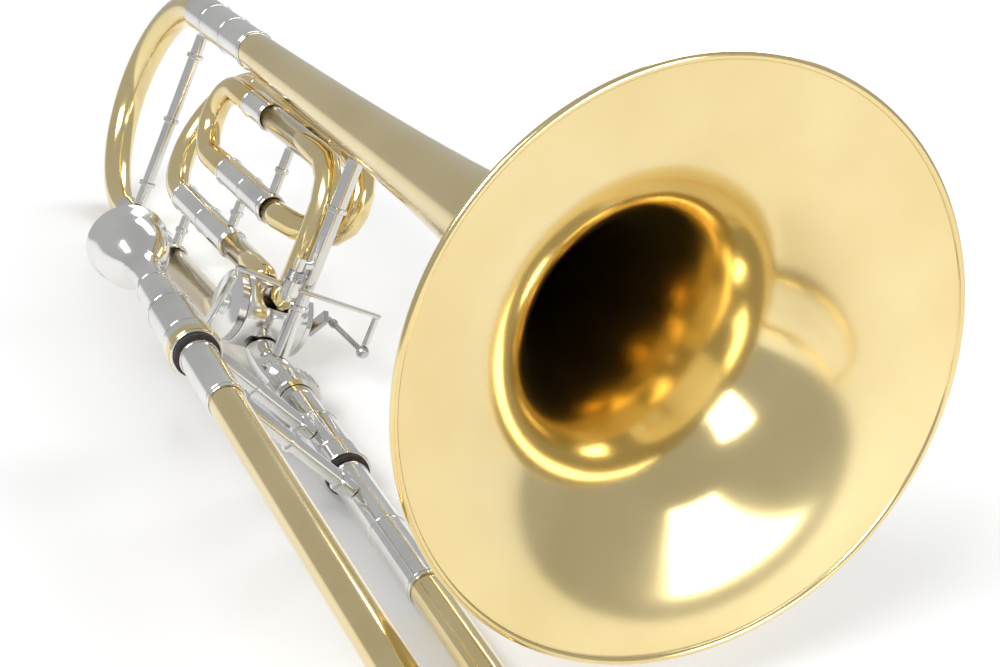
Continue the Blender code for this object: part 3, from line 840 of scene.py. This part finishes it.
def build_slide():
    """The two pairs of tubes, their fittings, braces and bow, and the mouthpiece."""
    pairs = (("upper", SLIDE_TOP_LINE, UPPER_SLEEVE_END), ("lower", SLIDE_LOW_LINE, LOWER_SLEEVE_END))
    for name, line, sleeve_end in pairs:
        ring(name + "_inner_tube", INNER_TUBE_START, INNER_TUBE_END, INNER_TUBE_R,
             INNER_TUBE_BORE, line, NICKEL)
        ring(name + "_outer_tube", OUTER_TUBE_START, OUTER_TUBE_END, OUTER_TUBE_R,
             OUTER_TUBE_BORE, line, BRASS)
        ring(name + "_barrel", BARREL_START, BARREL_END, BARREL_R, INNER_TUBE_R + BARREL_FIT,
             line, NICKEL)
        ring(name + "_lock_ring", LOCK_RING_START, LOCK_RING_END, LOCK_RING_R,
             INNER_TUBE_R + BARREL_FIT, line, NICKEL)
        ring(name + "_outer_sleeve", OUTER_TUBE_START, sleeve_end, OUTER_SLEEVE_R,
             OUTER_TUBE_R + OUTER_SLEEVE_FIT, line, NICKEL)
    for name, along, radius in (("inner_brace", INNER_BRACE_AT, BARREL_R),
                                ("outer_brace", OUTER_BRACE_AT, OUTER_SLEEVE_R)):
        foot = SLIDE_JOINT + SLIDE_DIRECTION * along
        start = foot + SLIDE_OFFSET * (radius + GAP)
        end = foot + SLIDE_OFFSET * (SLIDE_SPACING - radius - GAP)
        rod(name, start, end, SLIDE_BRACE_R, NICKEL, SLIDE_BRACE_RINGS)
    tail = SLIDE_DIRECTION * (OUTER_TUBE_END + GAP)
    lead = SLIDE_DIRECTION * BOW_LEAD
    centre = SLIDE_JOINT + tail + lead + SLIDE_OFFSET * SLIDE_SPACING / 2
    bow = half_turn(centre, -SLIDE_OFFSET * SLIDE_SPACING / 2,
                    SLIDE_DIRECTION * SLIDE_SPACING / 2, SLIDE_BOW_STEPS)
    bow = [tuple(Vector(bow[0]) - lead)] + bow + [tuple(Vector(bow[-1]) - lead)]
    tube("slide_bow", bow, OUTER_TUBE_R, WALL, BRASS)
    tip = centre + SLIDE_DIRECTION * (SLIDE_SPACING / 2 + OUTER_TUBE_R + GAP)
    rod("slide_bumper", tip, tip + SLIDE_DIRECTION * BUMPER_LONG, BUMPER_R, DARK)
    turned("mouthpiece", MOUTHPIECE_OUTLINE[::-1], SLIDE_TOP_LINE, NICKEL)
    ring("mouthpiece_receiver", MOUTH_RECEIVER_START, INNER_TUBE_START, MOUTH_RECEIVER_R,
         MOUTH_RECEIVER_BORE, SLIDE_TOP_LINE, NICKEL)
    ring("lower_socket", SOCKET_START, SOCKET_END, SOCKET_R, INNER_TUBE_BORE, SLIDE_LOW_LINE,
         NICKEL)
    ring("gap_ring", GAP_RING_START, GAP_RING_END, GAP_RING_R, INNER_TUBE_BORE, SLIDE_LOW_LINE,
         DARK)
    ring("leadpipe", LEADPIPE_START, LEADPIPE_END, INNER_TUBE_BORE - LEADPIPE_FIT,
         LEADPIPE_BORE, SLIDE_TOP_LINE, BRASS)


# Small visual pieces


def make_bands():
    """Raised ring lines at the joints of the tubes, by line, radius, places and body."""
    rows = ((BELL_LINE, BELL_SLEEVE_R, (-505.0, -539.0, -574.0), "frame"),
            (NECK_LINE, NECK_SLEEVE_R, (-510.0, -540.0, -574.0), "frame"),
            (WRAP_TOP_LINE, WRAP_SLEEVE_R, (-449.0, -476.0), "frame"),
            (WRAP_LOW_LINE, WRAP_SLEEVE_R, (-408.0, -440.0, -476.0), "frame"),
            (LEG_LINE, WRAP_SLEEVE_R, (-437.0, -480.0, -524.0), "frame"),
            (SLIDE_TOP_LINE, MOUTH_RECEIVER_R, (33.0, 59.0), "frame"),
            (SLIDE_TOP_LINE, BARREL_R, (64.0, 95.0), "frame"),
            (SLIDE_LOW_LINE, BARREL_R, (64.0, 95.0), "frame"),
            (SLIDE_TOP_LINE, OUTER_SLEEVE_R, (117.0, 161.0), "hand_slide"),
            (SLIDE_LOW_LINE, OUTER_SLEEVE_R, (117.0, 170.0, 220.0), "hand_slide"))
    for row, (line, radius, spots, body) in enumerate(rows):
        for spot in spots:
            band = ring("band_%d_%d" % (row, abs(int(spot))), spot - BAND_HALF, spot + BAND_HALF,
                        radius + BAND_PROUD, radius - BAND_SINK, line, NICKEL)
            dress(band, body)


def make_corks():
    """The gold collar and the two corks, by start, end, outer and inner radius."""
    rows = (("slide_lock_collar", 105.0, 110.5, 12.2, 11.5, SLIDE_TOP_LINE, BRASS),
            ("upper_cork", 112.1, 113.5, 10.5, 7.9, SLIDE_TOP_LINE, DARK),
            ("lower_cork", 112.1, 113.5, 10.5, 7.9, SLIDE_LOW_LINE, DARK))
    for name, start, end, outer, inner, line, slot in rows:
        dress(ring(name, start, end, outer, inner, line, slot), "frame")


def make_spring():
    """The return spring round the lever's post, above the hub."""
    hub = Vector(joint("thumb_lever")["pos_m"])
    curve = bpy.data.curves.new("lever_return_spring", "CURVE")
    curve.dimensions = "3D"
    curve.bevel_depth = SPRING_WIRE * MM
    curve.bevel_resolution = SPRING_WIRE_SIDES
    curve.use_fill_caps = True
    line = curve.splines.new("POLY")
    count = SPRING_TURNS * SPRING_POINTS
    line.points.add(count)
    for i, spot in enumerate(line.points):
        angle = math.tau * i / SPRING_POINTS
        rise = SPRING_BOTTOM + SPRING_RISE * i / count
        spot.co = (SPRING_R * MM * math.cos(angle), SPRING_R * MM * math.sin(angle),
                   rise * MM, 1.0)
    item = bpy.data.objects.new("lever_return_spring", curve)
    bpy.context.scene.collection.objects.link(item)
    item.matrix_world = placed(hub, AXIS_Z)
    curve.materials.append(MATERIALS["steel"])
    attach(item, "frame")


def make_knurls():
    """Fine ribs round the lock nut."""
    verts = []
    faces = []
    for i in range(RIB_COUNT):
        angle = math.tau * i / RIB_COUNT
        out = Vector((math.cos(angle), math.sin(angle), 0.0))
        side = Vector((-out.y, out.x, 0.0)) * RIB_HALF
        foot = out * (NUT_R - RIB_SINK)
        base = len(verts)
        for height in (RIB_START, RIB_END):
            level = Vector((0.0, 0.0, height * MM))
            verts += [tuple((foot - side) * MM + level),
                      tuple((foot + side) * MM + level),
                      tuple((out * (NUT_R + RIB_DEEP)) * MM + level)]
        faces += [(base, base + 2, base + 1), (base + 3, base + 4, base + 5),
                  (base, base + 1, base + 4, base + 3), (base + 1, base + 2, base + 5, base + 4),
                  (base + 2, base, base + 3, base + 5)]
    mesh = bpy.data.meshes.new("lock_nut_knurling")
    mesh.from_pydata(verts, [], faces)
    item = bpy.data.objects.new("lock_nut_knurling", mesh)
    bpy.context.scene.collection.objects.link(item)
    item.matrix_world = placed(ROW_SLIDE_JOINT, ROW_SLIDE_AXIS)
    mesh.materials.append(MATERIALS["nickel"])
    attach(item, "lock_nut")


# Studio


def make_floor():
    bpy.ops.mesh.primitive_plane_add(size=FLOOR_SIZE, location=(0.0, 0.0, 0.0))
    floor = bpy.context.object
    floor.name = "studio_floor"
    material = bpy.data.materials.new("pale_floor")
    material.use_nodes = True
    shader = material.node_tree.nodes["Principled BSDF"]
    shader.inputs["Base Color"].default_value = FLOOR_COLOUR
    shader.inputs["Roughness"].default_value = FLOOR_ROUGH
    floor.data.materials.append(material)


def area_light(name, spot, size, watts):
    data = bpy.data.lights.new(name, "AREA")
    data.shape = "RECTANGLE"
    data.size = size[0]
    data.size_y = size[1]
    data.energy = watts
    item = bpy.data.objects.new(name, data)
    bpy.context.scene.collection.objects.link(item)
    item.location = spot
    item.rotation_euler = (LIGHT_AIM - spot).to_track_quat("-Z", "Y").to_euler()


def make_lights():
    for name, spot, size, watts in LIGHTS:
        area_light(name, spot, size, watts)
    world = bpy.data.worlds.new("studio")
    world.use_nodes = True
    background = world.node_tree.nodes["Background"]
    background.inputs["Color"].default_value = WORLD_COLOUR
    background.inputs["Strength"].default_value = WORLD_STRENGTH
    bpy.context.scene.world = world


def make_camera():
    data = bpy.data.cameras.new("photo_camera")
    data.sensor_width = SENSOR_MM
    data.lens = FOCAL_PX / IMAGE_PX[0] * SENSOR_MM
    data.shift_x = (IMAGE_PX[0] / 2 - CENTRE_PX[0]) / IMAGE_PX[0]
    data.shift_y = (CENTRE_PX[1] - IMAGE_PX[1] / 2) / IMAGE_PX[0]
    data.clip_start = CAMERA_NEAR
    item = bpy.data.objects.new("photo_camera", data)
    bpy.context.scene.collection.objects.link(item)
    rows = [row_direction(CAMERA_RIGHT), -row_direction(CAMERA_DOWN),
            -row_direction(CAMERA_AHEAD)]
    facing = Matrix(rows).transposed().to_4x4()
    spot = BELL_SPOT + row_direction(CAMERA_SPOT * MM)
    item.matrix_world = Matrix.Translation(spot) @ facing
    bpy.context.scene.camera = item


build_bell()
build_tuning_slide()
build_valve()
build_neck()
build_valve_tubing()
build_inner_loop()
build_stays()
build_front_brace()
build_lever()
build_slide()
settle()
make_bands()
make_corks()
make_spring()
make_knurls()
make_floor()
make_lights()
make_camera()
bpy.context.scene.view_settings.view_transform = "Standard"
